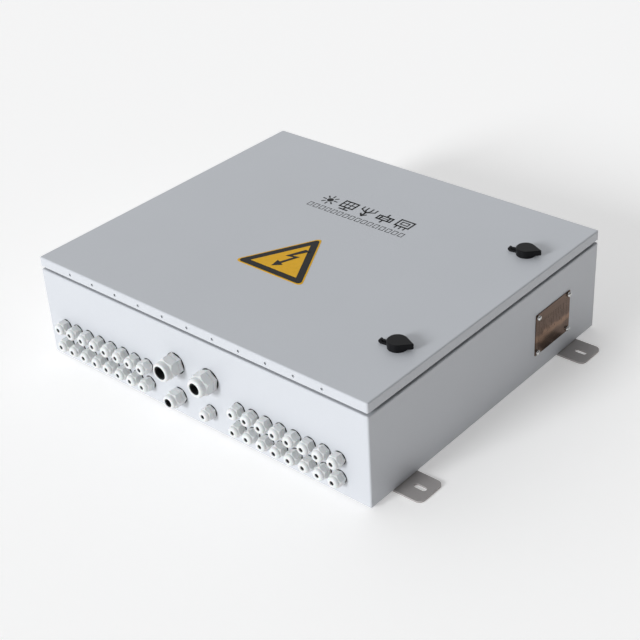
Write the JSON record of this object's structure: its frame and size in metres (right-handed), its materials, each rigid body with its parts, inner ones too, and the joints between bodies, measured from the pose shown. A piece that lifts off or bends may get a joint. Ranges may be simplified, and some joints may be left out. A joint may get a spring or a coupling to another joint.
{
  "type": "dc combiner box",
  "caption": "Shallow wall-hung steel case with a hinged door, quarter-turn locks, slotted wall tabs and cable glands, holding fuses, busbars, a breaker and surge protection.",
  "frame": {"origin": "centre of the four wall slots, on the face of the tabs that meets the wall", "axes": "+Z out of the door, +X towards the locks, +Y up the wall, away from the cable glands"},
  "size_m": [0.762, 0.614, 0.1933],
  "materials": {
    "case_coat": "light grey powder coat",
    "tab_coat": "light grey powder coat",
    "gland_plastic": "light grey moulded polyamide",
    "gland_rubber": "black",
    "seal_foam": "black foamed seal",
    "zinc_steel": "zinc plated",
    "bright_screw": "polished stainless",
    "rating_metal": "polished, warm brown",
    "lock_black": "black moulded",
    "lock_metal": "zinc die casting",
    "plate_steel": "galvanised",
    "rail_steel": "zinc plated",
    "holder_plastic": "light grey moulded",
    "drawer_plastic": "light grey moulded",
    "copper": "bare copper",
    "insulator_red": "red moulded polyester",
    "breaker_plastic": "dark grey moulded",
    "toggle_plastic": "black moulded",
    "surge_plastic": "light grey moulded",
    "module_red": "red moulded",
    "monitor_plastic": "dark grey moulded"
  },
  "bodies": {
    "case": {"body_shell": "case_coat", "mounting_tabs": "tab_coat", "nameplate": "rating_metal", "nameplate_screws": "bright_screw", "gland_washers": "gland_rubber", "gland_locknuts": "gland_plastic", "string_gland_bodies": "gland_plastic", "string_gland_seals": "gland_rubber", "string_gland_nuts": "gland_plastic", "string_gland_plugs": "gland_rubber", "service_gland_bodies": "gland_plastic", "service_gland_seals": "gland_rubber", "service_gland_nuts": "gland_plastic", "hinge_body_leaves": "zinc_steel", "hinge_pins": "zinc_steel", "mounting_plate": "plate_steel", "plate_studs": "zinc_steel", "plate_nuts": "zinc_steel", "fuse_rail": "rail_steel", "surge_rail": "rail_steel", "fuse_bases": "holder_plastic", "positive_busbar": "copper", "negative_busbar": "copper", "busbar_insulators": "insulator_red", "device_screws": "zinc_steel", "breaker_body": "breaker_plastic", "surge_base": "surge_plastic", "monitor_unit": "monitor_plastic", "earth_bar": "copper"},
    "door": {"door_panel": "case_coat", "door_seal": "seal_foam", "hinge_door_leaves": "zinc_steel", "lock_housings": "lock_black", "lock_nuts": "zinc_steel"},
    "lower_lock": {"lower_lock_rotor": "lock_metal", "lower_lock_cam": "zinc_steel"},
    "upper_lock": {"upper_lock_rotor": "lock_metal", "upper_lock_cam": "zinc_steel"},
    "lower_cover": {"lower_lock_cover": "lock_black"},
    "upper_cover": {"upper_lock_cover": "lock_black"},
    "toggle": {"breaker_toggle": "toggle_plastic"},
    "surge_1": {"surge_module_1": "module_red"},
    "surge_2": {"surge_module_2": "module_red"},
    "surge_3": {"surge_module_3": "module_red"},
    "fuse_01": {"fuse_drawer_01": "drawer_plastic"},
    "fuse_02": {"fuse_drawer_02": "drawer_plastic"},
    "fuse_03": {"fuse_drawer_03": "drawer_plastic"},
    "fuse_04": {"fuse_drawer_04": "drawer_plastic"},
    "fuse_05": {"fuse_drawer_05": "drawer_plastic"},
    "fuse_06": {"fuse_drawer_06": "drawer_plastic"},
    "fuse_07": {"fuse_drawer_07": "drawer_plastic"},
    "fuse_08": {"fuse_drawer_08": "drawer_plastic"},
    "fuse_09": {"fuse_drawer_09": "drawer_plastic"},
    "fuse_10": {"fuse_drawer_10": "drawer_plastic"},
    "fuse_11": {"fuse_drawer_11": "drawer_plastic"},
    "fuse_12": {"fuse_drawer_12": "drawer_plastic"},
    "fuse_13": {"fuse_drawer_13": "drawer_plastic"},
    "fuse_14": {"fuse_drawer_14": "drawer_plastic"},
    "fuse_15": {"fuse_drawer_15": "drawer_plastic"},
    "fuse_16": {"fuse_drawer_16": "drawer_plastic"}
  },
  "joints": [
    {"name": "door_swing", "type": "hinge", "parent": "case", "child": "door", "pos_m": [-0.3325, 0, 0.1635], "axis": [0, -1, 0], "range_deg": [0, 120]},
    {"name": "lower_lock_turn", "type": "hinge", "parent": "door", "child": "lower_lock", "pos_m": [0.284, -0.16, 0.17], "axis": [0, 0, 1], "range_deg": [0, 90]},
    {"name": "lower_cover_flip", "type": "hinge", "parent": "door", "child": "lower_cover", "pos_m": [0.25839, -0.16451, 0.185], "axis": [0.1736, -0.9848, 0], "range_deg": [0, 140]},
    {"name": "upper_lock_turn", "type": "hinge", "parent": "door", "child": "upper_lock", "pos_m": [0.284, 0.16, 0.17], "axis": [0, 0, 1], "range_deg": [0, 90]},
    {"name": "upper_cover_flip", "type": "hinge", "parent": "door", "child": "upper_cover", "pos_m": [0.25839, 0.15549, 0.185], "axis": [0.1736, -0.9848, 0], "range_deg": [0, 140]},
    {"name": "breaker_switch", "type": "hinge", "parent": "case", "child": "toggle", "pos_m": [-0.06, 0.085, 0.0885], "axis": [-1, 0, 0], "range_deg": [0, 36]},
    {"name": "surge_1_pull", "type": "slide", "parent": "case", "child": "surge_1", "axis": [0, 0, 1], "range_m": [0, 0.03]},
    {"name": "surge_2_pull", "type": "slide", "parent": "case", "child": "surge_2", "axis": [0, 0, 1], "range_m": [0, 0.03]},
    {"name": "surge_3_pull", "type": "slide", "parent": "case", "child": "surge_3", "axis": [0, 0, 1], "range_m": [0, 0.03]},
    {"name": "fuse_01_swing", "type": "hinge", "parent": "case", "child": "fuse_01", "pos_m": [-0.27, -0.127, 0.081], "axis": [-1, 0, 0], "range_deg": [0, 80]},
    {"name": "fuse_02_swing", "type": "hinge", "parent": "case", "child": "fuse_02", "pos_m": [-0.234, -0.127, 0.081], "axis": [-1, 0, 0], "range_deg": [0, 80]},
    {"name": "fuse_03_swing", "type": "hinge", "parent": "case", "child": "fuse_03", "pos_m": [-0.198, -0.127, 0.081], "axis": [-1, 0, 0], "range_deg": [0, 80]},
    {"name": "fuse_04_swing", "type": "hinge", "parent": "case", "child": "fuse_04", "pos_m": [-0.162, -0.127, 0.081], "axis": [-1, 0, 0], "range_deg": [0, 80]},
    {"name": "fuse_05_swing", "type": "hinge", "parent": "case", "child": "fuse_05", "pos_m": [-0.126, -0.127, 0.081], "axis": [-1, 0, 0], "range_deg": [0, 80]},
    {"name": "fuse_06_swing", "type": "hinge", "parent": "case", "child": "fuse_06", "pos_m": [-0.09, -0.127, 0.081], "axis": [-1, 0, 0], "range_deg": [0, 80]},
    {"name": "fuse_07_swing", "type": "hinge", "parent": "case", "child": "fuse_07", "pos_m": [-0.054, -0.127, 0.081], "axis": [-1, 0, 0], "range_deg": [0, 80]},
    {"name": "fuse_08_swing", "type": "hinge", "parent": "case", "child": "fuse_08", "pos_m": [-0.018, -0.127, 0.081], "axis": [-1, 0, 0], "range_deg": [0, 80]},
    {"name": "fuse_09_swing", "type": "hinge", "parent": "case", "child": "fuse_09", "pos_m": [0.018, -0.127, 0.081], "axis": [-1, 0, 0], "range_deg": [0, 80]},
    {"name": "fuse_10_swing", "type": "hinge", "parent": "case", "child": "fuse_10", "pos_m": [0.054, -0.127, 0.081], "axis": [-1, 0, 0], "range_deg": [0, 80]},
    {"name": "fuse_11_swing", "type": "hinge", "parent": "case", "child": "fuse_11", "pos_m": [0.09, -0.127, 0.081], "axis": [-1, 0, 0], "range_deg": [0, 80]},
    {"name": "fuse_12_swing", "type": "hinge", "parent": "case", "child": "fuse_12", "pos_m": [0.126, -0.127, 0.081], "axis": [-1, 0, 0], "range_deg": [0, 80]},
    {"name": "fuse_13_swing", "type": "hinge", "parent": "case", "child": "fuse_13", "pos_m": [0.162, -0.127, 0.081], "axis": [-1, 0, 0], "range_deg": [0, 80]},
    {"name": "fuse_14_swing", "type": "hinge", "parent": "case", "child": "fuse_14", "pos_m": [0.198, -0.127, 0.081], "axis": [-1, 0, 0], "range_deg": [0, 80]},
    {"name": "fuse_15_swing", "type": "hinge", "parent": "case", "child": "fuse_15", "pos_m": [0.234, -0.127, 0.081], "axis": [-1, 0, 0], "range_deg": [0, 80]},
    {"name": "fuse_16_swing", "type": "hinge", "parent": "case", "child": "fuse_16", "pos_m": [0.27, -0.127, 0.081], "axis": [-1, 0, 0], "range_deg": [0, 80]}
  ]
}
